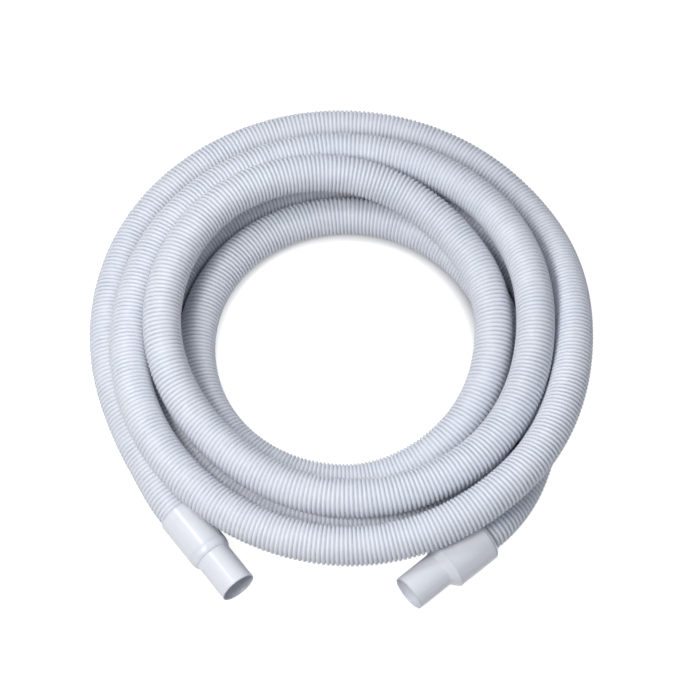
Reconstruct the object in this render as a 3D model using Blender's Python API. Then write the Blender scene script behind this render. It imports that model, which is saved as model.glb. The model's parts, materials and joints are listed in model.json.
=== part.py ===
"""A coiled pool vacuum hose with a screwed cuff at one end and a swivel cuff at the other."""
import math

import bmesh
import bpy
from mathutils import Vector

# Driving dimensions, in metres.
HOSE_OD = 0.045
HOSE_WALL = 0.0022
CUFF_BORE = 0.038
CUFF_WALL = 0.0018
HOSE_GRIP = 0.044
FIXED_SHOULDER_LENGTH = 0.0111
FIXED_STEP_LENGTH = 0.0097
FIXED_SPIGOT_LENGTH = 0.0469
FIXED_BARREL_WALL = 0.0015
FIXED_EDGE_LENGTH = 0.0008
FIXED_EDGE_DROP = 0.0004
SWIVEL_BARREL_WALL = 0.002
SWIVEL_SHOULDER_LENGTH = 0.0012
SWIVEL_SPIGOT_LENGTH = 0.045
INNER_CONE_START = 0.0015
COLLAR_WALL = 0.0022
COLLAR_FLANGE_HEIGHT = 0.0022
COLLAR_FLANGE_LENGTH = 0.004
STOP_LIP_LENGTH = 0.003
RING_LENGTH = 0.0087
RING_LIP_LENGTH = 0.0045
RING_LIP_EDGE = 0.0006
RING_RIM_LENGTH = 0.0008
RING_SETBACK = 0.0003
SEAL_THICKNESS = 0.0024
SEAL_WIDTH = 0.004
SEAL_LEDGE = 0.0015

# The fixed cuff's rounded step: share of its length, and share of its drop in radius.
STEP_SHAPE = ((0.0, 0.0), (0.35, 0.063), (0.62, 0.215), (0.82, 0.428), (0.95, 0.688), (1.0, 1.0))

# Clearances, in metres.
CLEARANCE = 0.0003

# Lay of the coil. Angles in degrees, counter-clockwise from +X about the coil's centre.
COIL_CENTRE = Vector((0.0043, 0.0058, 0.0))
SWIVEL_END = {"angle": -58.0, "radius": 6.41, "heading": 220.0}
FIXED_END = {"angle": 229.3, "radius": 6.28, "heading": -52.4}
STATION_STEP = 45
POINT_STEP = 22.5
EXIT_RUN = 0.007
SHORTEST_RUN = 9.0

# Radius and height of the hose's centreline in hose diameters, eight stations to a turn,
# starting on +X. The first turn lies on the floor and the turns then climb and cross over it.
TURNS = (
    (
        (5.25, 0.50), (4.98, 0.50), (4.87, 0.50), (4.81, 0.50),
        (4.80, 0.50), (4.90, 0.50), (4.95, 0.50), (4.83, 0.50),
    ),
    (
        (4.22, 0.50), (3.94, 0.50), (3.84, 0.50), (3.79, 0.50),
        (3.78, 0.50), (3.86, 0.50), (3.91, 0.50), (3.95, 1.06),
    ),
    (
        (3.84, 1.52), (3.92, 1.54), (4.24, 1.96), (4.52, 2.13),
        (4.59, 1.95), (4.49, 1.52), (4.77, 1.55), (4.96, 1.71),
    ),
    (
        (4.88, 1.92), (5.14, 1.57), (5.22, 1.48), (5.33, 1.45),
        (5.44, 1.42), (5.72, 1.51), (6.03, 1.51), (6.07, 1.86),
    ),
    (
        (5.87, 1.50), (6.31, 0.50), (6.54, 0.50), (6.43, 0.50),
        (6.04, 0.50),
    ),
)
LEAD_IN = ((-45.0, 6.14, 0.53), (-30.0, 5.71, 0.50))
LEAD_OUT = ((200.0, 5.91, 0.50), (213.5, 5.96, 0.51), (219.5, 6.06, 0.53))

TURNED_STEPS = 48
HOSE_BEVEL_RESOLUTION = 4

# Sizes worked out from the ones above.
HOSE_RADIUS = HOSE_OD / 2
BORE_RADIUS = CUFF_BORE / 2
SPIGOT_RADIUS = BORE_RADIUS + CUFF_WALL
GRIP_RADIUS = HOSE_RADIUS + CLEARANCE
FIXED_BARREL_RADIUS = GRIP_RADIUS + FIXED_BARREL_WALL
COLLAR_RADIUS = GRIP_RADIUS + COLLAR_WALL
FLANGE_RADIUS = COLLAR_RADIUS + COLLAR_FLANGE_HEIGHT
SWIVEL_INNER_RADIUS = FLANGE_RADIUS + CLEARANCE
SWIVEL_BARREL_RADIUS = SWIVEL_INNER_RADIUS + SWIVEL_BARREL_WALL
STOP_RADIUS = HOSE_RADIUS - HOSE_WALL - CLEARANCE
HOSE_STOP = HOSE_GRIP + CLEARANCE

COLOURS = {
    "hose": (0.76, 0.79, 0.86, 1.0),
    "fixed_cuff": (0.80, 0.82, 0.87, 1.0),
    "swivel_cuff": (0.80, 0.82, 0.87, 1.0),
    "swivel_collar": (0.72, 0.75, 0.82, 1.0),
    "swivel_retaining_ring": (0.74, 0.77, 0.84, 1.0),
    "swivel_seal": (0.05, 0.05, 0.055, 1.0),
}
ROUGHNESS = {"hose": 0.45, "fixed_cuff": 0.32, "swivel_cuff": 0.32, "swivel_seal": 0.6}


def clear_scene():
    for old in list(bpy.data.objects):
        bpy.data.objects.remove(old, do_unlink=True)


def paint(part):
    """Give a part its own plain material."""
    material = bpy.data.materials.new(part.name)
    material.use_nodes = True
    shader = material.node_tree.nodes["Principled BSDF"]
    shader.inputs["Base Color"].default_value = COLOURS[part.name]
    shader.inputs["Roughness"].default_value = ROUGHNESS.get(part.name, 0.4)
    shader.inputs["Metallic"].default_value = 0.0
    part.data.materials.append(material)


def direction(heading):
    turn = math.radians(heading)
    return Vector((math.cos(turn), math.sin(turn), 0.0))


def end_position(end, height):
    """Centre of a cuff's rear edge, where the hose goes in."""
    out = direction(end["angle"]) * end["radius"] * HOSE_OD
    return COIL_CENTRE + out + Vector((0.0, 0.0, height))


def turned(name, profile, holder):
    """Turn a closed (along the axis, radius) outline into a solid about the holder's X axis."""
    mesh = bpy.data.meshes.new(name)
    bm = bmesh.new()
    corners = [bm.verts.new((along, 0.0, radius)) for along, radius in profile]
    edges = [bm.edges.new((a, b)) for a, b in zip(corners, corners[1:] + corners[:1])]
    bmesh.ops.spin(
        bm, geom=corners + edges, cent=(0, 0, 0), axis=(1, 0, 0), angle=2 * math.pi,
        steps=TURNED_STEPS, use_merge=True,
    )
    bmesh.ops.remove_doubles(bm, verts=bm.verts, dist=0.00001)
    bmesh.ops.recalc_face_normals(bm, faces=bm.faces)
    bm.to_mesh(mesh)
    bm.free()
    part = bpy.data.objects.new(name, mesh)
    bpy.context.collection.objects.link(part)
    part.parent = holder
    paint(part)
    return part


def axis_empty(name, end, height):
    """An empty on a cuff's axis, at its rear edge, with local X towards the mouth."""
    holder = bpy.data.objects.new(name, None)
    bpy.context.collection.objects.link(holder)
    holder.location = end_position(end, height)
    holder.rotation_euler = (0.0, 0.0, math.radians(end["heading"]))
    return holder


def make_fixed_cuff():
    """The cuff that screws on the hose: a barrel over the hose, a rounded step and a spigot."""
    holder = axis_empty("fixed_cuff_axis", FIXED_END, FIXED_BARREL_RADIUS)
    step_start = HOSE_STOP + FIXED_SHOULDER_LENGTH
    step_end = step_start + FIXED_STEP_LENGTH
    mouth = step_end + FIXED_SPIGOT_LENGTH
    drop = FIXED_BARREL_RADIUS - SPIGOT_RADIUS
    neck = BORE_RADIUS + drop / 2
    step = [
        (step_start + FIXED_STEP_LENGTH * length, FIXED_BARREL_RADIUS - drop * depth)
        for length, depth in STEP_SHAPE
    ]
    profile = [
        (0.0, GRIP_RADIUS),
        (0.0, FIXED_BARREL_RADIUS - FIXED_EDGE_DROP),
        (FIXED_EDGE_LENGTH, FIXED_BARREL_RADIUS),
        *step,
        (mouth, SPIGOT_RADIUS),
        (mouth, BORE_RADIUS),
        (step_end, BORE_RADIUS),
        (step_start, neck),
        (HOSE_STOP, neck),
        (HOSE_STOP, GRIP_RADIUS),
    ]
    turned("fixed_cuff", profile, holder)


def make_swivel_end():
    """The swivel end: cuff and retaining ring turn about the collar, which stays with the hose."""
    holder = axis_empty("cuff_swivel_axis", SWIVEL_END, SWIVEL_BARREL_RADIUS)
    collar_front = HOSE_STOP + STOP_LIP_LENGTH
    seal_rear = collar_front + CLEARANCE
    seal_front = seal_rear + SEAL_THICKNESS
    ledge = seal_front + CLEARANCE
    ledge_radius = SWIVEL_INNER_RADIUS - SEAL_LEDGE
    # Both cones run at 45 degrees, so each is as long as its drop in radius.
    barrel_end = ledge + SWIVEL_SHOULDER_LENGTH
    cone_end = barrel_end + SWIVEL_BARREL_RADIUS - SPIGOT_RADIUS
    inner_cone_start = ledge + INNER_CONE_START
    inner_cone_end = inner_cone_start + ledge_radius - BORE_RADIUS
    mouth = cone_end + SWIVEL_SPIGOT_LENGTH
    cuff = [
        (0.0, SWIVEL_INNER_RADIUS),
        (0.0, SWIVEL_BARREL_RADIUS),
        (barrel_end, SWIVEL_BARREL_RADIUS),
        (cone_end, SPIGOT_RADIUS),
        (mouth, SPIGOT_RADIUS),
        (mouth, BORE_RADIUS),
        (inner_cone_end, BORE_RADIUS),
        (inner_cone_start, ledge_radius),
        (ledge, ledge_radius),
        (ledge, SWIVEL_INNER_RADIUS),
    ]
    flange_rear = RING_LENGTH + CLEARANCE
    flange_front = flange_rear + COLLAR_FLANGE_LENGTH
    collar = [
        (-RING_LIP_LENGTH, GRIP_RADIUS),
        (-RING_LIP_LENGTH, COLLAR_RADIUS),
        (flange_rear, COLLAR_RADIUS),
        (flange_rear, FLANGE_RADIUS),
        (flange_front, FLANGE_RADIUS),
        (flange_front, COLLAR_RADIUS),
        (collar_front, COLLAR_RADIUS),
        (collar_front, STOP_RADIUS),
        (HOSE_STOP, STOP_RADIUS),
        (HOSE_STOP, GRIP_RADIUS),
    ]
    ring_radius = COLLAR_RADIUS + CLEARANCE
    rim_radius = SWIVEL_BARREL_RADIUS - RING_SETBACK
    ring = [
        (-RING_LIP_LENGTH, ring_radius),
        (-RING_LIP_LENGTH, ring_radius + RING_LIP_EDGE),
        (-CLEARANCE - RING_RIM_LENGTH, rim_radius),
        (-CLEARANCE, rim_radius),
        (-CLEARANCE, FLANGE_RADIUS),
        (RING_LENGTH, FLANGE_RADIUS),
        (RING_LENGTH, ring_radius),
    ]
    seal = [
        (seal_rear, FLANGE_RADIUS - SEAL_WIDTH),
        (seal_rear, FLANGE_RADIUS),
        (seal_front, FLANGE_RADIUS),
        (seal_front, FLANGE_RADIUS - SEAL_WIDTH),
    ]
    turned("swivel_cuff", cuff, holder)
    turned("swivel_retaining_ring", ring, holder)
    turned("swivel_collar", collar, holder)
    turned("swivel_seal", seal, holder)


def polar_station(point, turn, travel):
    """A station at a cuff's exit, with the slope that the cuff's own direction gives there."""
    flat = point - COIL_CENTRE
    angle = math.degrees(math.atan2(flat.y, flat.x)) + 360.0 * turn
    radius = math.hypot(flat.x, flat.y)
    outward = direction(angle)
    onward = direction(angle + 90.0)
    slope = radius * travel.dot(outward) / travel.dot(onward) * math.radians(1.0)
    return (angle, radius, point.z, slope)


def coil_stations(first, last):
    """All stations as (angle, radius, height), in degrees and metres."""
    stations = [first[:3]]
    stations += [(a, r * HOSE_OD, h * HOSE_OD) for a, r, h in LEAD_IN]
    angle = 0
    for turn in TURNS:
        for radius, height in turn:
            stations.append((angle, radius * HOSE_OD, height * HOSE_OD))
            angle += STATION_STEP
    whole = 360.0 * (len(TURNS) - 1)
    stations += [(a + whole, r * HOSE_OD, h * HOSE_OD) for a, r, h in LEAD_OUT]
    stations.append(last[:3])
    return stations


def slopes_of(stations, column, first_slope, last_slope, level_ends=False):
    """Slope at each station. With level_ends, a rise starts and ends level, so nothing dips."""
    inner = []
    for a, b, c in zip(stations, stations[1:], stations[2:]):
        before, after = b[column] - a[column], c[column] - b[column]
        level = level_ends and before * after <= 0.0
        inner.append(0.0 if level else (before + after) / (c[0] - a[0]))
    return [first_slope] + inner + [last_slope]


def read_coil(stations, radius_slopes, height_slopes, angle):
    """A point of the smooth curve through the stations, at an angle along the coil."""
    i = max(k for k in range(len(stations) - 1) if stations[k][0] <= angle or k == 0)
    span = stations[i + 1][0] - stations[i][0]
    u = (angle - stations[i][0]) / span
    values = []
    for column, slopes in ((1, radius_slopes), (2, height_slopes)):
        low, high = stations[i][column], stations[i + 1][column]
        values.append(
            low * (1 + 2 * u) * (1 - u) ** 2 + high * u * u * (3 - 2 * u)
            + span * (slopes[i] * u * (1 - u) ** 2 - slopes[i + 1] * u * u * (1 - u))
        )
    radius, height = values
    return COIL_CENTRE + direction(angle) * radius + Vector((0.0, 0.0, height))


def hose_points():
    """Centreline points: straight in each cuff, and read from the smooth coil in between."""
    swivel_rear = end_position(SWIVEL_END, SWIVEL_BARREL_RADIUS)
    fixed_rear = end_position(FIXED_END, FIXED_BARREL_RADIUS)
    leaving = -direction(SWIVEL_END["heading"])
    arriving = direction(FIXED_END["heading"])
    first = polar_station(swivel_rear + leaving * EXIT_RUN, 0, leaving)
    last = polar_station(fixed_rear - arriving * EXIT_RUN, len(TURNS), arriving)
    stations = coil_stations(first, last)
    radius_slopes = slopes_of(stations, 1, first[3], last[3])
    height_slopes = slopes_of(stations, 2, 0.0, 0.0, level_ends=True)
    points = [swivel_rear - leaving * HOSE_GRIP, swivel_rear + leaving * EXIT_RUN]
    count = math.ceil((last[0] - first[0]) / POINT_STEP) + 1
    start = math.floor(first[0] / POINT_STEP) * POINT_STEP
    for k in range(count + 1):
        angle = start + k * POINT_STEP
        if first[0] + SHORTEST_RUN < angle < last[0] - SHORTEST_RUN:
            points.append(read_coil(stations, radius_slopes, height_slopes, angle))
    points += [fixed_rear - arriving * EXIT_RUN, fixed_rear + arriving * HOSE_GRIP]
    return points


def make_hose():
    """The hose: a hollow tube along the coil, open at both ends."""
    points = hose_points()
    curve = bpy.data.curves.new("hose", "CURVE")
    curve.dimensions = "3D"
    curve.bevel_depth = HOSE_RADIUS
    curve.bevel_resolution = HOSE_BEVEL_RESOLUTION
    curve.render_resolution_u = 0
    spline = curve.splines.new("POLY")
    spline.points.add(len(points) - 1)
    for place, point in zip(spline.points, points):
        place.co = (point.x, point.y, point.z, 1.0)
    part = bpy.data.objects.new("hose", curve)
    bpy.context.collection.objects.link(part)
    wall = part.modifiers.new("wall", "SOLIDIFY")
    wall.thickness = HOSE_WALL
    wall.offset = -1.0
    paint(part)


def build():
    clear_scene()
    make_hose()
    make_fixed_cuff()
    make_swivel_end()


build()
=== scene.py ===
import json
import math

import bpy
import numpy as np
from mathutils import Matrix, Vector


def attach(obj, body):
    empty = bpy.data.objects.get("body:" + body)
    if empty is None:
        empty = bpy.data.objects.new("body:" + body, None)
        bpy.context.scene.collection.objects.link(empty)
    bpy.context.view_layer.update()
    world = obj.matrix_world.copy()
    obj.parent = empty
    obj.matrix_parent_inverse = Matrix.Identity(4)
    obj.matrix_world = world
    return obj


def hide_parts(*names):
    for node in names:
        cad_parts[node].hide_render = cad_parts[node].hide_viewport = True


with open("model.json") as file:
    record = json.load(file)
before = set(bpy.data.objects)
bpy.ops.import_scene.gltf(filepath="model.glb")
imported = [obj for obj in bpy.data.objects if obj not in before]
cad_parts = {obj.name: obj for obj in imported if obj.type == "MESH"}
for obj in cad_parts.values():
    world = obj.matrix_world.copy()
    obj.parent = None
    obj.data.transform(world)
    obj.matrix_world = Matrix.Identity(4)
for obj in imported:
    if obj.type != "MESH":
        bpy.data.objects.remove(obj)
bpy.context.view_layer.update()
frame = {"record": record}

# Everything below is in metres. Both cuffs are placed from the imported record.
swivelJoint = frame["record"]["behaviour"]["joints"][0]
mouthMounts = {mount["name"]: mount for mount in frame["record"]["mounts"]}

bpy.context.scene.view_settings.view_transform = "Standard"


shot = {
    "target": (0.0043, 0.0058, 0.0225),
    "elevation": 63.0,
    "distance": 3.132,
    "lens": 141.0,
    "shift": (0.0022, 0.0007),
    "clip": (0.05, 60.0),
}


def placeCamera():
    rise = math.radians(shot["elevation"])
    data = bpy.data.cameras.new("shotCamera")
    data.lens = shot["lens"]
    data.shift_x, data.shift_y = shot["shift"]
    data.clip_start, data.clip_end = shot["clip"]
    camera = bpy.data.objects.new("shotCamera", data)
    back = Vector((0.0, -math.cos(rise), math.sin(rise)))
    camera.location = Vector(shot["target"]) + back * shot["distance"]
    camera.rotation_euler = (math.radians(90.0) - rise, 0.0, 0.0)
    bpy.context.scene.collection.objects.link(camera)
    bpy.context.scene.camera = camera


placeCamera()
print("camera placed")


hoseLay = {
    "outside": 0.045,
    "grip": 0.044,          # how far the hose goes into each cuff
    "exitRun": 0.007,       # straight run outside each cuff
    "centre": (0.0043, 0.0058),
    "stationStep": 45.0,
    "readStep": 1.5,        # degrees between two points of the line
    "straightStep": 0.005,
    # radius and height in hose diameters, eight stations to a turn, from +X counter-clockwise
    "turns": (
        (
            (5.25, 0.50), (4.98, 0.50), (4.87, 0.50), (4.81, 0.50),
            (4.80, 0.50), (4.90, 0.50), (4.95, 0.50), (4.83, 0.50),
        ),
        (
            (4.22, 0.50), (3.94, 0.50), (3.84, 0.50), (3.79, 0.50),
            (3.78, 0.50), (3.86, 0.50), (3.91, 0.50), (3.95, 1.06),
        ),
        (
            (3.84, 1.52), (3.92, 1.54), (4.24, 1.96), (4.52, 2.13),
            (4.59, 1.95), (4.49, 1.52), (4.77, 1.55), (4.96, 1.71),
        ),
        (
            (4.88, 1.92), (5.14, 1.57), (5.22, 1.48), (5.33, 1.45),
            (5.44, 1.42), (5.72, 1.51), (6.03, 1.51), (6.07, 1.86),
        ),
        (
            (5.87, 1.50), (6.31, 0.50), (6.54, 0.50), (6.43, 0.50),
            (6.04, 0.50),
        ),
    ),
    "leadIn": ((-45.0, 6.14, 0.53), (-30.0, 5.71, 0.50)),
    "leadOut": ((200.0, 5.91, 0.50), (213.5, 5.96, 0.51), (219.5, 6.06, 0.53)),
}
swivelRear = Vector(swivelJoint["pos_m"])
swivelAxis = Vector(swivelJoint["axis"]).normalized()
fixedMount = mouthMounts["fixed_cuff_mouth"]
fixedAxis = Vector(fixedMount["axis"]).normalized()
fixedLength = 0.112
mouthFaceRadius = 0.0199      # the mount sits in the middle of the mouth's wall
fixedRear = (
    Vector(fixedMount["pos_m"]) - fixedAxis * fixedLength - Vector((0, 0, mouthFaceRadius))
)


def exitStation(point, turn, travel):
    flat = point - Vector((*hoseLay["centre"], 0.0))
    angle = math.atan2(flat.y, flat.x)
    radius = math.hypot(flat.x, flat.y)
    outward = Vector((math.cos(angle), math.sin(angle), 0.0))
    onward = Vector((-outward.y, outward.x, 0.0))
    slope = radius * travel.dot(outward) / travel.dot(onward) * math.radians(1.0)
    return (math.degrees(angle) + 360.0 * turn, radius, point.z, slope)


def routeStations(first, last):
    size = hoseLay["outside"]
    rows = [first[:3]]
    rows += [(a, r * size, h * size) for a, r, h in hoseLay["leadIn"]]
    angle = 0.0
    for turn in hoseLay["turns"]:
        for radius, height in turn:
            rows.append((angle, radius * size, height * size))
            angle += hoseLay["stationStep"]
    whole = 360.0 * (len(hoseLay["turns"]) - 1)
    rows += [(a + whole, r * size, h * size) for a, r, h in hoseLay["leadOut"]]
    rows.append(last[:3])
    return np.array(rows)


def slopesOf(rows, column, firstSlope, lastSlope, levelEnds=False):
    value, angle = rows[:, column], rows[:, 0]
    before, after = value[1:-1] - value[:-2], value[2:] - value[1:-1]
    inner = (before + after) / (angle[2:] - angle[:-2])
    if levelEnds:
        inner = np.where(before * after <= 0.0, 0.0, inner)   # a rise starts and ends level
    return np.concatenate(([firstSlope], inner, [lastSlope]))


def readRoute(rows, slopes, column, angles):
    k = np.clip(np.searchsorted(rows[:, 0], angles, side="right") - 1, 0, len(rows) - 2)
    span = rows[k + 1, 0] - rows[k, 0]
    u = (angles - rows[k, 0]) / span
    low, high = rows[k, column], rows[k + 1, column]
    return (
        low * (1 + 2 * u) * (1 - u) ** 2 + high * u * u * (3 - 2 * u)
        + span * (slopes[k] * u * (1 - u) ** 2 - slopes[k + 1] * u * u * (1 - u))
    )


def hoseLine():
    run, grip = hoseLay["exitRun"], hoseLay["grip"]
    first = exitStation(swivelRear - swivelAxis * run, 0, -swivelAxis)
    last = exitStation(fixedRear - fixedAxis * run, len(hoseLay["turns"]), fixedAxis)
    rows = routeStations(first, last)
    radiusSlopes = slopesOf(rows, 1, first[3], last[3])
    heightSlopes = slopesOf(rows, 2, 0.0, 0.0, levelEnds=True)
    count = int(round((last[0] - first[0]) / hoseLay["readStep"]))
    angles = np.linspace(first[0], last[0], count + 1)
    radius = readRoute(rows, radiusSlopes, 1, angles)
    height = readRoute(rows, heightSlopes, 2, angles)
    turn = np.radians(angles)
    coil = np.stack((
        hoseLay["centre"][0] + radius * np.cos(turn),
        hoseLay["centre"][1] + radius * np.sin(turn),
        height,
    ), axis=1)
    straight = np.arange(0.0, grip + run - 1e-6, hoseLay["straightStep"])[:, None]
    start = np.array(swivelRear + swivelAxis * grip) - straight * np.array(swivelAxis)
    end = np.array(fixedRear + fixedAxis * grip) - straight * np.array(fixedAxis)
    return np.concatenate((start, coil, end[::-1]))


line = hoseLine()
steps = np.linalg.norm(np.diff(line, axis=0), axis=1)
travelled = np.concatenate(([0.0], np.cumsum(steps)))
hoseLength = float(travelled[-1])
tangents = np.gradient(line, travelled, axis=0)
tangents /= np.linalg.norm(tangents, axis=1)[:, None]
print("hose line", round(hoseLength, 3), "m in", len(line), "points")


# Shader node groups that several of the finishes share, and what they have in common.
sharedFinish = {
    "coarseGrain": 0.12,            # scale of the coarse grain beside the fine one
    "cloudSpan": (0.35, 0.68),      # part of the noise that goes from one colour to the other
    "dustAndShadeSpan": (0.3, 0.7),
    "thinnestDustAndShade": 0.45,
    "wearAndHighlightSpan": (0.38, 0.62),
    "dustAndShadeRoughness": 0.25,          # what full dust with painted shade and full wear with painted highlight add to the roughness
    "wearAndHighlightRoughness": 0.12,
}


def newGroup(name, inputs, outputs):
    group = bpy.data.node_groups.new(name, "ShaderNodeTree")
    for label, kind, value in inputs:
        socket = group.interface.new_socket(label, in_out="INPUT", socket_type=kind)
        if value is not None:
            socket.default_value = value
    for label, kind in outputs:
        group.interface.new_socket(label, in_out="OUTPUT", socket_type=kind)
    start = group.nodes.new("NodeGroupInput")
    end = group.nodes.new("NodeGroupOutput")
    return group, start.outputs, end.inputs


def fillSocket(tree, socket, value):
    if isinstance(value, bpy.types.NodeSocket):
        tree.links.new(value, socket)
    elif value is not None:
        socket.default_value = value


def addNode(tree, kind, settings=None, **values):
    node = tree.nodes.new(kind)
    for key, value in (settings or {}).items():
        setattr(node, key, value)
    for key, value in values.items():
        fillSocket(tree, node.inputs[key.replace("_", " ")], value)
    return node


def placeGroup(tree, group, **values):
    return addNode(tree, "ShaderNodeGroup", {"node_tree": group}, **values).outputs


def mathNode(tree, operation, first, second=None, clamp=False):
    node = addNode(tree, "ShaderNodeMath", {"operation": operation, "use_clamp": clamp})
    for socket, value in zip(node.inputs, (first, second)):
        fillSocket(tree, socket, value)
    return node.outputs[0]


def mixColours(tree, factor, first, second):
    node = addNode(tree, "ShaderNodeMix", {"data_type": "RGBA"})
    for place, value in ((0, factor), (6, first), (7, second)):     # the colour mix's own sockets
        fillSocket(tree, node.inputs[place], value)
    return node.outputs[2]


def rangeNode(tree, value, low, high, toLow=0.0, toHigh=1.0):
    node = addNode(
        tree, "ShaderNodeMapRange", None, From_Min=low, From_Max=high, To_Min=toLow, To_Max=toHigh,
    )
    tree.links.new(value, node.inputs["Value"])
    return node.outputs["Result"]


def makeGrain():
    group, given, made = newGroup(
        "mouldedGrain",
        [("Vector", "NodeSocketVector", None), ("Scale", "NodeSocketFloat", 900.0),
         ("Coarse Share", "NodeSocketFloat", 0.35)],
        [("Height", "NodeSocketFloat"), ("Roughness Shift", "NodeSocketFloat")],
    )
    fine = addNode(group, "ShaderNodeTexNoise", None, Vector=given["Vector"],
                   Scale=given["Scale"], Detail=3.0, Roughness=0.6)
    coarseScale = mathNode(group, "MULTIPLY", given["Scale"], sharedFinish["coarseGrain"])
    coarse = addNode(group, "ShaderNodeTexNoise", None, Vector=given["Vector"],
                     Scale=coarseScale, Detail=2.0, Roughness=0.5)
    share = mathNode(group, "MULTIPLY", coarse.outputs["Fac"], given["Coarse Share"])
    group.links.new(mathNode(group, "ADD", fine.outputs["Fac"], share), made["Height"])
    shift = mathNode(group, "SUBTRACT", coarse.outputs["Fac"], 0.5)
    group.links.new(shift, made["Roughness Shift"])
    return group


def makeCloud():
    group, given, made = newGroup(
        "cloudedColour",
        [("Vector", "NodeSocketVector", None), ("Colour", "NodeSocketColor", (1, 1, 1, 1)),
         ("Second Colour", "NodeSocketColor", (1, 1, 1, 1)), ("Scale", "NodeSocketFloat", 9.0)],
        [("Colour", "NodeSocketColor")],
    )
    noise = addNode(group, "ShaderNodeTexNoise", None, Vector=given["Vector"],
                    Scale=given["Scale"], Detail=3.0, Roughness=0.55)
    cloud = rangeNode(group, noise.outputs["Fac"], *sharedFinish["cloudSpan"])
    mixed = mixColours(group, cloud, given["Colour"], given["Second Colour"])
    group.links.new(mixed, made["Colour"])
    return group


# Dust in recesses, darkened further as painted shade.
def makeDustAndShade():
    group, given, made = newGroup(
        "settledDustAndPaintedShade",
        [("Vector", "NodeSocketVector", None), ("Recess", "NodeSocketFloat", 0.0),
         ("Amount", "NodeSocketFloat", 0.3), ("Scale", "NodeSocketFloat", 60.0)],
        [("Mask", "NodeSocketFloat")],
    )
    noise = addNode(group, "ShaderNodeTexNoise", None, Vector=given["Vector"],
                    Scale=given["Scale"], Detail=4.0, Roughness=0.65)
    patch = rangeNode(group, noise.outputs["Fac"], *sharedFinish["dustAndShadeSpan"],
                      sharedFinish["thinnestDustAndShade"], 1.0)
    mask = mathNode(group, "MULTIPLY", given["Recess"], patch)
    mask = mathNode(group, "MULTIPLY", mask, given["Amount"], clamp=True)
    group.links.new(mask, made["Mask"])
    return group


# Wear on edges and crests, lightened further as a painted highlight.
def makeWearAndHighlight():
    group, given, made = newGroup(
        "rubbedEdgeAndPaintedHighlight",
        [("Vector", "NodeSocketVector", None), ("Edge", "NodeSocketFloat", 0.0),
         ("Amount", "NodeSocketFloat", 0.5), ("Scale", "NodeSocketFloat", 180.0)],
        [("Mask", "NodeSocketFloat")],
    )
    noise = addNode(group, "ShaderNodeTexNoise", None, Vector=given["Vector"],
                    Scale=given["Scale"], Detail=4.0, Roughness=0.7)
    broken = rangeNode(group, noise.outputs["Fac"], *sharedFinish["wearAndHighlightSpan"])
    mask = mathNode(group, "MULTIPLY", given["Edge"], broken)
    mask = mathNode(group, "MULTIPLY", mask, given["Amount"], clamp=True)
    group.links.new(mask, made["Mask"])
    return group


grainGroup, cloudGroup, dustAndShadeGroup, wearAndHighlightGroup = makeGrain(), makeCloud(), makeDustAndShade(), makeWearAndHighlight()


def srgb(red, green, blue):
    def one(value):
        value /= 255.0
        return value / 12.92 if value <= 0.04045 else ((value + 0.055) / 1.055) ** 2.4
    return (one(red), one(green), one(blue), 1.0)


def plasticMaterial(name, look):
    material = bpy.data.materials.new(name)
    material.use_nodes = True
    tree = material.node_tree
    shader = tree.nodes["Principled BSDF"]
    place = tree.nodes.new("ShaderNodeTexCoord").outputs["Object"]
    recess = addNode(tree, "ShaderNodeAttribute", {"attribute_name": "recess"}).outputs["Fac"]
    edge = addNode(tree, "ShaderNodeAttribute", {"attribute_name": "edge"}).outputs["Fac"]
    colour = placeGroup(tree, cloudGroup, Vector=place, Colour=look["colour"],
                        Second_Colour=look["secondColour"], Scale=look["cloudScale"])["Colour"]
    dustAndShade = placeGroup(tree, dustAndShadeGroup, Vector=place, Recess=recess,
                      Amount=look["dustAndShadeAmount"], Scale=look["dustAndShadeScale"])["Mask"]
    wearAndHighlight = placeGroup(tree, wearAndHighlightGroup, Vector=place, Edge=edge,
                      Amount=look["wearAndHighlightAmount"], Scale=look["wearAndHighlightScale"])["Mask"]
    grain = placeGroup(tree, grainGroup, Vector=place, Scale=look["grainScale"],
                       Coarse_Share=look["coarseShare"])
    # the recess mask darkens the colour: partly dust, partly painted shade
    colour = mixColours(tree, dustAndShade, colour, look["dustAndShadeColour"])
    # the edge mask lightens the colour: partly wear, partly a painted highlight
    colour = mixColours(tree, wearAndHighlight, colour, look["wearAndHighlightColour"])
    tree.links.new(colour, shader.inputs["Base Color"])
    rough = mathNode(tree, "MULTIPLY", grain["Roughness Shift"], look["roughnessDrift"])
    rough = mathNode(tree, "ADD", rough, look["roughness"])
    dustAndShadeRoughening = mathNode(tree, "MULTIPLY", dustAndShade, sharedFinish["dustAndShadeRoughness"])
    rough = mathNode(tree, "ADD", rough, dustAndShadeRoughening)
    wearAndHighlightRoughening = mathNode(tree, "MULTIPLY", wearAndHighlight, sharedFinish["wearAndHighlightRoughness"])
    rough = mathNode(tree, "ADD", rough, wearAndHighlightRoughening, clamp=True)
    tree.links.new(rough, shader.inputs["Roughness"])
    bump = addNode(tree, "ShaderNodeBump", None, Strength=look["grainStrength"],
                   Distance=look["grainDepth"], Height=grain["Height"])
    tree.links.new(bump.outputs["Normal"], shader.inputs["Normal"])
    shader.inputs["IOR"].default_value = look["ior"]
    return material


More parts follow.
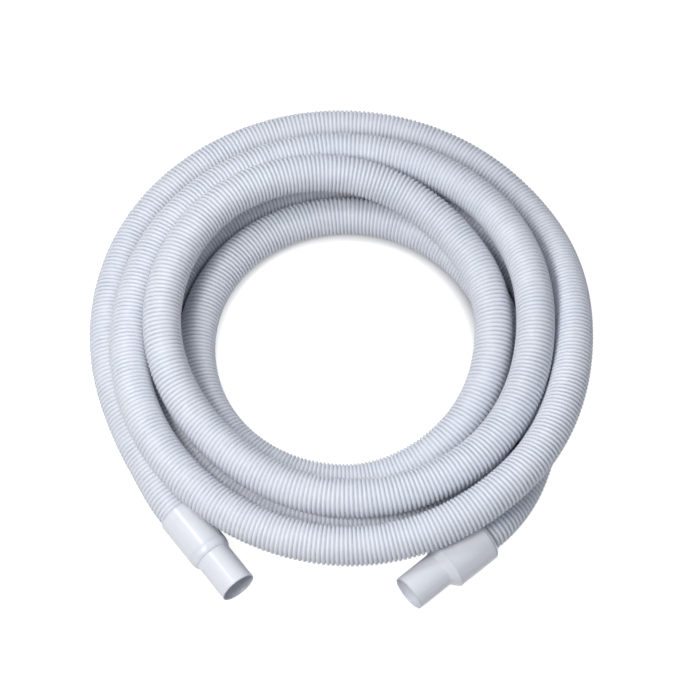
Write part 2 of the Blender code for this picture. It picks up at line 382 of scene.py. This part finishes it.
# The ribbed hose: one helical strip, wound round the line, with a smooth bore.
ribbedHose = {
    "ribPitch": 0.0049,
    "profile": (0.0198, 0.0221, 0.0225, 0.0221),   # radii over one rib, from the valley
    "sides": 16,
    "boreRadius": 0.0190,
    "boreStep": 0.03,
    "crestNarrowing": 4.0,      # wear and a painted highlight keep to the top quarter of each rib
    "look": {
        "colour": srgb(232, 234, 240), "secondColour": srgb(227, 230, 238), "cloudScale": 7.0,
        # the recess colour darkens the rib valleys: partly dust, partly painted shade
        "dustAndShadeColour": srgb(118, 128, 154), "dustAndShadeAmount": 0.7, "dustAndShadeScale": 45.0,
        # the crest colour lightens the rib tops: partly wear, partly a painted highlight
        "wearAndHighlightColour": srgb(238, 240, 246), "wearAndHighlightAmount": 0.5, "wearAndHighlightScale": 260.0,
        "grainScale": 1500.0, "coarseShare": 0.5, "grainStrength": 0.25, "grainDepth": 0.0002,
        "roughness": 0.42, "roughnessDrift": 0.25, "ior": 1.49,
    },
}


def ringPoints(along, angle, radius):
    centre = np.stack([np.interp(along, travelled, line[:, k]) for k in range(3)], axis=-1)
    ahead = np.stack([np.interp(along, travelled, tangents[:, k]) for k in range(3)], axis=-1)
    ahead /= np.linalg.norm(ahead, axis=-1)[..., None]
    side = np.stack((-ahead[..., 1], ahead[..., 0], np.zeros(along.shape)), axis=-1)
    side /= np.linalg.norm(side, axis=-1)[..., None]
    up = np.cross(ahead, side)
    return centre + radius[..., None] * (
        side * np.cos(angle)[..., None] + up * np.sin(angle)[..., None]
    )


def makeHose():
    pitch, sides = ribbedHose["ribPitch"], ribbedHose["sides"]
    profile = np.array(ribbedHose["profile"])
    perRib = len(profile)
    lastRow = math.ceil(hoseLength / pitch * perRib)
    rows = np.arange(-perRib, lastRow + perRib + 2)
    share = np.arange(sides) / sides
    along = pitch * (rows[:, None] / perRib + share[None, :])
    held = np.clip(along, 0.0, hoseLength)          # both ends are cut square
    phase = (held / pitch - share[None, :]) % 1.0 * perRib
    radius = np.interp(phase, np.arange(perRib + 1), np.append(profile, profile[0]))
    angle = np.broadcast_to(2 * math.pi * share, along.shape)
    points = ringPoints(held, angle, radius)
    free = (along > 0.0) & (along < hoseLength)
    ids = np.zeros(along.shape, int)
    ids[free] = np.arange(free.sum()) + 2 * sides
    column = np.broadcast_to(np.arange(sides), along.shape)
    ids[along <= 0.0] = column[along <= 0.0]
    ids[along >= hoseLength] = column[along >= hoseLength] + sides
    outer = np.concatenate((points[0], points[-1], points[free]))
    depth = (profile.max() - radius) / (profile.max() - profile.min())
    recess = np.concatenate((depth[0], depth[-1], depth[free]))

    inRows = len(rows) - perRib - 1
    nextRib = np.append(ids[perRib:, :1], np.zeros((perRib, 1), int), axis=0)
    wide = np.concatenate((ids, nextRib), axis=1)   # once round is one rib further on
    a, b = wide[:inRows, :-1], wide[:inRows, 1:]
    d, c = wide[1:inRows + 1, :-1], wide[1:inRows + 1, 1:]
    quads = np.stack((a, b, c, d), axis=-1).reshape(-1, 4)
    faces = []
    for p, q, r, s in quads.tolist():
        if p == s and q == r:           # a strip past an end has no area
            continue
        faces.append((p, q, r) if p == s else (p, q, s) if q == r else (p, q, r, s))

    boreRings = np.linspace(0.0, hoseLength, math.ceil(hoseLength / ribbedHose["boreStep"]) + 1)
    boreAlong = np.repeat(boreRings[:, None], sides, axis=1)
    bore = ringPoints(
        boreAlong, np.broadcast_to(2 * math.pi * share, boreAlong.shape),
        np.full(boreAlong.shape, ribbedHose["boreRadius"]),
    ).reshape(-1, 3)
    base, count = len(outer), len(boreRings)
    for ring in range(count - 1):
        for k in range(sides):
            p = base + ring * sides + k
            q = base + ring * sides + (k + 1) % sides
            faces.append((p, p + sides, q + sides, q))
    lastRing = base + (count - 1) * sides
    for k in range(sides):
        n = (k + 1) % sides
        faces.append((k, base + k, base + n, n))
        faces.append((sides + n, lastRing + n, lastRing + k, sides + k))

    mesh = bpy.data.meshes.new("ribbedHose")
    mesh.from_pydata(np.concatenate((outer, bore)).tolist(), [], faces)
    mesh.shade_smooth()
    values = np.concatenate((recess, np.zeros(len(bore))))
    mesh.attributes.new("recess", "FLOAT", "POINT").data.foreach_set("value", values)
    crest = np.clip(1.0 - ribbedHose["crestNarrowing"] * values, 0.0, 1.0)
    crest[base:] = 0.0
    mesh.attributes.new("edge", "FLOAT", "POINT").data.foreach_set("value", crest)
    mesh.update()
    hose = bpy.data.objects.new("ribbedHose", mesh)
    bpy.context.scene.collection.objects.link(hose)
    mesh.materials.append(plasticMaterial("ribbedHosePlastic", ribbedHose["look"]))
    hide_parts("hose")
    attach(hose, "hose_and_fixed_cuff")
    return hose


hose = makeHose()
print("hose made", len(hose.data.vertices), "points", len(hose.data.polygons), "faces")


# Turned pieces. An outline is a list of (along, radius, rounding), closed on itself.
turnedShape = {
    "steps": 96, "arcSteps": 4,
    "markReach": 0.0012,       # wear with painted highlight and dust with painted shade stay this close to a corner
    "sharpAngle": math.radians(38),
}


def axisMatrix(rear, axis):
    side = Vector((0.0, 0.0, 1.0)).cross(axis).normalized()
    up = axis.cross(side)
    return Matrix.Translation(rear) @ Matrix((axis, side, up)).transposed().to_4x4()


def roundOutline(corners):
    arcSteps, fade = turnedShape["arcSteps"], turnedShape["markReach"]
    made = []
    for k, (along, radius, rounding) in enumerate(corners):
        here = Vector((along, radius))
        if rounding <= 0.0:
            made.append((here, 0.0))
            continue
        toLast = Vector(corners[k - 1][:2]) - here
        toNext = Vector(corners[(k + 1) % len(corners)][:2]) - here
        before, after = toLast.normalized(), toNext.normalized()
        half = before.angle(after) / 2
        reach = rounding / math.tan(half)
        centre = here + (before + after).normalized() * rounding / math.sin(half)
        first, last = here + before * reach - centre, here + after * reach - centre
        convex = before.x * after.y - before.y * after.x
        if toLast.length > 3 * (reach + fade):
            made.append((here + before * (reach + fade), 0.0))
        for n in range(arcSteps + 1):
            blend = first.lerp(last, n / arcSteps)
            made.append((centre + blend.normalized() * rounding, 1.0 if convex < 0 else -1.0))
        if toNext.length > 3 * (reach + fade):
            made.append((here + after * (reach + fade), 0.0))
    return made


def makeTurned(name, corners, rear, axis, look, body, nodeName):
    steps = turnedShape["steps"]
    outline = roundOutline(corners)
    count = len(outline)
    turn = 2 * math.pi * np.arange(steps) / steps
    along = np.array([p.x for p, _ in outline])
    radius = np.array([p.y for p, _ in outline])
    kind = np.array([k for _, k in outline])
    points = np.stack((
        np.broadcast_to(along, (steps, count)),
        radius[None, :] * np.cos(turn)[:, None],
        radius[None, :] * np.sin(turn)[:, None],
    ), axis=-1).reshape(-1, 3)
    faces = []
    for s in range(steps):
        t = (s + 1) % steps
        for k in range(count):
            n = (k + 1) % count
            faces.append((s * count + k, s * count + n, t * count + n, t * count + k))
    mesh = bpy.data.meshes.new(name)
    mesh.from_pydata(points.tolist(), [], faces)
    mesh.shade_smooth()
    mesh.set_sharp_from_angle(angle=turnedShape["sharpAngle"])
    # convex corners take wear and a painted highlight, concave corners dust and painted shade
    for label, values in (("edge", np.clip(kind, 0, 1)), ("recess", np.clip(-kind, 0, 1))):
        spread = np.tile(values.astype(float), steps)
        mesh.attributes.new(label, "FLOAT", "POINT").data.foreach_set("value", spread)
    mesh.materials.append(plasticMaterial(name + "Plastic", look))
    piece = bpy.data.objects.new(name, mesh)
    bpy.context.scene.collection.objects.link(piece)
    piece.matrix_world = axisMatrix(rear, axis)
    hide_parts(nodeName)
    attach(piece, body)
    return piece


cuffLook = {
    "colour": srgb(229, 231, 236), "secondColour": srgb(226, 228, 234), "cloudScale": 22.0,
    # concave corners darken with dust and painted shade, as in the shadow line at the step's foot
    "dustAndShadeColour": srgb(160, 167, 188), "dustAndShadeAmount": 0.4, "dustAndShadeScale": 90.0,
    # convex corners lighten with wear and a painted highlight, as in the bright ring at the
    # shoulder
    "wearAndHighlightColour": srgb(240, 241, 245), "wearAndHighlightAmount": 0.35, "wearAndHighlightScale": 240.0,
    "grainScale": 1300.0, "coarseShare": 0.8, "grainStrength": 0.06, "grainDepth": 0.0002,
    "roughness": 0.24, "roughnessDrift": 0.1, "ior": 1.49,
}

# The cuff that screws on the hose: barrel, fine ring line, rounded step and spigot.
fixedCuff = {
    "barrelRadius": 0.0243, "barrelEnd": 0.0554, "stepEnd": 0.0651, "spigotRadius": 0.0208,
    "boreRadius": 0.019, "mouthBore": 0.0196, "gripRadius": 0.0228, "neckRadius": 0.02075,
    "stop": 0.0443, "stepPoints": 8,
    "rearRound": 0.0002, "rearBevel": (0.0007, 0.0002), "bevelRound": 0.0008,
    "groove": 0.0002,                               # the fine ring line before the step
    "grooveAt": (0.0014, 0.0010, 0.0004, 0.0),      # its four corners, back from the step
    "grooveRound": (0.0002, 0.0001, 0.0001, 0.0002),
    "footRound": 0.0003, "lipRound": 0.0005, "lipInside": 0.0003, "mouthTaper": 0.003,
    "taperRound": 0.001, "boreRound": 0.002, "stopRound": 0.0003, "leadIn": 0.0003,
    "leadInLength": 0.0006,
}


def makeFixedCuff():
    c = fixedCuff
    drop = c["barrelRadius"] - c["spigotRadius"]
    stepLength = c["stepEnd"] - c["barrelEnd"]
    bevelLength, bevelDrop = c["rearBevel"]
    corners = [
        (0.0, c["gripRadius"] + c["leadIn"], c["rearRound"]),
        (0.0, c["barrelRadius"] - bevelDrop, c["rearRound"]),
        (bevelLength, c["barrelRadius"], c["bevelRound"]),
    ]
    for back, depth, rounding in zip(c["grooveAt"], (0, 1, 1, 0), c["grooveRound"]):
        corners.append((
            c["barrelEnd"] - back, c["barrelRadius"] - depth * c["groove"], rounding,
        ))
    for k in range(1, c["stepPoints"]):
        turn = math.radians(90.0) * k / c["stepPoints"]       # a quarter of an ellipse
        corners.append((
            c["barrelEnd"] + stepLength * math.sin(turn),
            c["spigotRadius"] + drop * math.cos(turn), 0.0,
        ))
    corners += [
        (c["stepEnd"], c["spigotRadius"], c["footRound"]),
        (fixedLength, c["spigotRadius"], c["lipRound"]),
        (fixedLength, c["mouthBore"], c["lipInside"]),
        (fixedLength - c["mouthTaper"], c["boreRadius"], c["taperRound"]),
        (c["stepEnd"], c["boreRadius"], c["boreRound"]),
        (c["barrelEnd"], c["neckRadius"], c["boreRound"]),
        (c["stop"], c["neckRadius"], c["stopRound"]),
        (c["stop"], c["gripRadius"], c["stopRound"]),
        (c["leadInLength"], c["gripRadius"], c["rearRound"]),
    ]
    return makeTurned("fixedCuff", corners, fixedRear, fixedAxis, cuffLook,
                      "hose_and_fixed_cuff", "fixed_cuff")


# The turning cuff: wide barrel, sharp cone and spigot, open at the back for the collar.
swivelCuff = {
    "barrelRadius": 0.0295, "innerRadius": 0.0275, "barrelEnd": 0.0515, "coneEnd": 0.0602,
    "spigotRadius": 0.0208, "boreRadius": 0.019, "mouthBore": 0.0196, "length": 0.1052,
    "ledge": 0.0503, "ledgeRadius": 0.026, "innerConeStart": 0.0518, "innerConeEnd": 0.0588,
    "rearRound": (0.0002, 0.0004), "coneRound": 0.0009, "lipRound": 0.0005,
    "lipInside": 0.0003, "mouthTaper": 0.003, "taperRound": 0.001,
    "innerConeRound": (0.0015, 0.0004), "ledgeRound": 0.0002,
}


def makeSwivelCuff():
    c = swivelCuff
    corners = [
        (0.0, c["innerRadius"], c["rearRound"][0]),
        (0.0, c["barrelRadius"], c["rearRound"][1]),
        (c["barrelEnd"], c["barrelRadius"], c["coneRound"]),
        (c["coneEnd"], c["spigotRadius"], c["coneRound"]),
        (c["length"], c["spigotRadius"], c["lipRound"]),
        (c["length"], c["mouthBore"], c["lipInside"]),
        (c["length"] - c["mouthTaper"], c["boreRadius"], c["taperRound"]),
        (c["innerConeEnd"], c["boreRadius"], c["innerConeRound"][0]),
        (c["innerConeStart"], c["ledgeRadius"], c["innerConeRound"][1]),
        (c["ledge"], c["ledgeRadius"], c["ledgeRound"]),
        (c["ledge"], c["innerRadius"], c["ledgeRound"]),
    ]
    return makeTurned("swivelCuff", corners, swivelRear, swivelAxis, cuffLook,
                      "turning_cuff", "swivel_cuff")


# The bevelled ring that snaps in behind the collar's flange.
retainingRing = {
    "lipStart": -0.0045, "lipRadius": 0.0259, "rimStart": -0.0011, "rimRadius": 0.0292,
    "rimEnd": -0.0003, "plugRadius": 0.0272, "plugEnd": 0.0087, "boreRadius": 0.0253,
    "boreRound": 0.0001, "lipRound": 0.0003, "rimRound": 0.0005, "seatRound": 0.0002,
    "plugRound": 0.0004,
}


def makeRetainingRing():
    c = retainingRing
    corners = [
        (c["lipStart"], c["boreRadius"], c["boreRound"]),
        (c["lipStart"], c["lipRadius"], c["lipRound"]),
        (c["rimStart"], c["rimRadius"], c["rimRound"]),
        (c["rimEnd"], c["rimRadius"], c["seatRound"]),
        (c["rimEnd"], c["plugRadius"], c["seatRound"]),
        (c["plugEnd"], c["plugRadius"], c["plugRound"]),
        (c["plugEnd"], c["boreRadius"], c["lipRound"]),
    ]
    return makeTurned("retainingRing", corners, swivelRear, swivelAxis, cuffLook,
                      "turning_cuff", "swivel_retaining_ring")


# The threaded bush that stays with the hose while the cuff turns.
threadedCollar = {
    "rear": -0.0045, "gripRadius": 0.0228, "tubeRadius": 0.025, "flangeRear": 0.009,
    "flangeFront": 0.013, "flangeRadius": 0.0272, "front": 0.0473, "stop": 0.0443,
    "stopRadius": 0.02, "leadIn": 0.0003, "rearRound": (0.0002, 0.0004),
    "flangeFoot": 0.0005, "flangeRound": 0.0004, "stopRound": 0.0003,
    "colour": srgb(214, 219, 232), "secondColour": srgb(208, 214, 228), "roughness": 0.4,
}


def makeCollar():
    c = threadedCollar
    look = dict(cuffLook, colour=c["colour"], secondColour=c["secondColour"],
                roughness=c["roughness"])
    corners = [
        (c["rear"], c["gripRadius"] + c["leadIn"], c["rearRound"][0]),
        (c["rear"], c["tubeRadius"], c["rearRound"][1]),
        (c["flangeRear"], c["tubeRadius"], c["flangeFoot"]),
        (c["flangeRear"], c["flangeRadius"], c["flangeRound"]),
        (c["flangeFront"], c["flangeRadius"], c["flangeRound"]),
        (c["flangeFront"], c["tubeRadius"], c["flangeFoot"]),
        (c["front"], c["tubeRadius"], c["stopRound"]),
        (c["front"], c["stopRadius"], c["stopRound"]),
        (c["stop"], c["stopRadius"], c["stopRound"]),
        (c["stop"], c["gripRadius"], c["stopRound"]),
    ]
    return makeTurned("threadedCollar", corners, swivelRear, swivelAxis, look,
                      "hose_and_fixed_cuff", "swivel_collar")


# The rubber washer between the collar's front and the ledge in the cuff.
sealWasher = {
    "rear": 0.0476, "front": 0.05, "innerRadius": 0.0232, "outerRadius": 0.0272,
    "edgeRound": 0.0005,
    "look": {
        "colour": srgb(52, 53, 57), "secondColour": srgb(43, 44, 48), "cloudScale": 60.0,
        "dustAndShadeColour": srgb(96, 98, 104), "dustAndShadeAmount": 0.5, "dustAndShadeScale": 120.0,
        "wearAndHighlightColour": srgb(80, 82, 88), "wearAndHighlightAmount": 0.5, "wearAndHighlightScale": 300.0,
        "grainScale": 2200.0, "coarseShare": 0.4, "grainStrength": 0.35, "grainDepth": 0.0002,
        "roughness": 0.62, "roughnessDrift": 0.2, "ior": 1.52,
    },
}


def makeSeal():
    c = sealWasher
    corners = [
        (c["rear"], c["innerRadius"], c["edgeRound"]),
        (c["rear"], c["outerRadius"], c["edgeRound"]),
        (c["front"], c["outerRadius"], c["edgeRound"]),
        (c["front"], c["innerRadius"], c["edgeRound"]),
    ]
    return makeTurned("sealWasher", corners, swivelRear, swivelAxis, c["look"],
                      "hose_and_fixed_cuff", "swivel_seal")


fittings = [makeFixedCuff(), makeSwivelCuff(), makeRetainingRing(), makeCollar(), makeSeal()]
print("cuffs made")


# Floor, background and lamps.
studio = {
    "floorSize": 14.0,
    "floorColour": (0.46, 0.46, 0.47, 1.0),
    "floorRoughness": 0.9,
    "floorShown": 0.88,             # how white the floor shows before any light falls on it
    "paintedShadeRing": (0.165, 0.245),     # painted shade: under the turns the floor's white is left out, so it shows only the light that reaches it
    "ringEdge": 0.02,
    "worldColour": (0.86, 0.91, 1.0, 1.0),
    "worldLight": (0.08, 0.46),     # at the horizon and high up
    "worldRise": 0.8,               # where high up begins, with straight up at 1
    "lamps": (
        # name, place, size, power, colour
        ("keyLamp", (-0.92, -0.98, 2.25), 0.8, 34.0, (1.0, 0.99, 0.975)),
        ("fillLamp", (0.2, -1.7, 2.0), 1.2, 3.0, (0.90, 0.94, 1.0)),
        ("backLamp", (-0.2, 1.5, 2.2), 1.0, 6.0, (0.97, 0.98, 1.0)),
        ("streakLamp", (-1.35, 0.32, 2.66), 0.4, 14.0, (1.0, 1.0, 1.0)),
    ),
}


def makeFloor():
    half = studio["floorSize"] / 2
    mesh = bpy.data.meshes.new("studioFloor")
    mesh.from_pydata([(-half, -half, 0), (half, -half, 0), (half, half, 0), (-half, half, 0)],
                     [], [(0, 1, 2, 3)])
    material = bpy.data.materials.new("studioFloorPaper")
    material.use_nodes = True
    tree = material.node_tree
    shader = tree.nodes["Principled BSDF"]
    shader.inputs["Base Color"].default_value = studio["floorColour"]
    shader.inputs["Roughness"].default_value = studio["floorRoughness"]
    rays = tree.nodes.new("ShaderNodeLightPath").outputs
    seen = mathNode(tree, "MAXIMUM", rays["Is Camera Ray"], rays["Is Glossy Ray"])
    seen = mathNode(tree, "MAXIMUM", seen, rays["Is Transmission Ray"])
    shader.inputs["Emission Color"].default_value = (1.0, 1.0, 1.0, 1.0)
    place = tree.nodes.new("ShaderNodeTexCoord").outputs["Object"]
    offset = addNode(tree, "ShaderNodeVectorMath", {"operation": "SUBTRACT"})
    tree.links.new(place, offset.inputs[0])
    offset.inputs[1].default_value = (*hoseLay["centre"], 0.0)
    reach = addNode(tree, "ShaderNodeVectorMath", {"operation": "LENGTH"})
    tree.links.new(offset.outputs["Vector"], reach.inputs[0])
    # painted shade: in a ring under the turns the floor loses its white, so the gaps between turns
    # show dark
    inner, outer = studio["paintedShadeRing"]
    fade = studio["ringEdge"]
    inside = rangeNode(tree, reach.outputs["Value"], inner - fade, inner, 1.0, 0.0)
    outside = rangeNode(tree, reach.outputs["Value"], outer, outer + fade, 0.0, 1.0)
    shown = mathNode(tree, "MULTIPLY", mathNode(tree, "MAXIMUM", inside, outside), seen)
    tree.links.new(mathNode(tree, "MULTIPLY", shown, studio["floorShown"]),
                   shader.inputs["Emission Strength"])
    mesh.materials.append(material)
    floor = bpy.data.objects.new("studioFloor", mesh)
    bpy.context.scene.collection.objects.link(floor)


def makeWorld():
    world = bpy.data.worlds.new("studioWorld")
    world.use_nodes = True
    bpy.context.scene.world = world
    tree = world.node_tree
    background = tree.nodes["Background"]
    rays = tree.nodes.new("ShaderNodeLightPath").outputs
    seen = mathNode(tree, "MAXIMUM", rays["Is Camera Ray"], rays["Is Transmission Ray"])
    tree.links.new(mixColours(tree, seen, studio["worldColour"], (1.0, 1.0, 1.0, 1.0)),
                   background.inputs["Color"])
    way = addNode(tree, "ShaderNodeSeparateXYZ")
    tree.links.new(tree.nodes.new("ShaderNodeTexCoord").outputs["Generated"], way.inputs[0])
    light = rangeNode(tree, way.outputs["Z"], 0.0, studio["worldRise"], *studio["worldLight"])
    tree.links.new(mathNode(tree, "MAXIMUM", light, seen), background.inputs["Strength"])


def makeLamps():
    for name, place, size, power, colour in studio["lamps"]:
        data = bpy.data.lights.new(name, "AREA")
        data.size, data.energy, data.color = size, power, colour
        lamp = bpy.data.objects.new(name, data)
        lamp.location = place
        aim = Vector(shot["target"]) - Vector(place)
        lamp.rotation_euler = aim.to_track_quat("-Z", "Y").to_euler()
        bpy.context.scene.collection.objects.link(lamp)


makeFloor()
makeWorld()
makeLamps()
print("studio made")
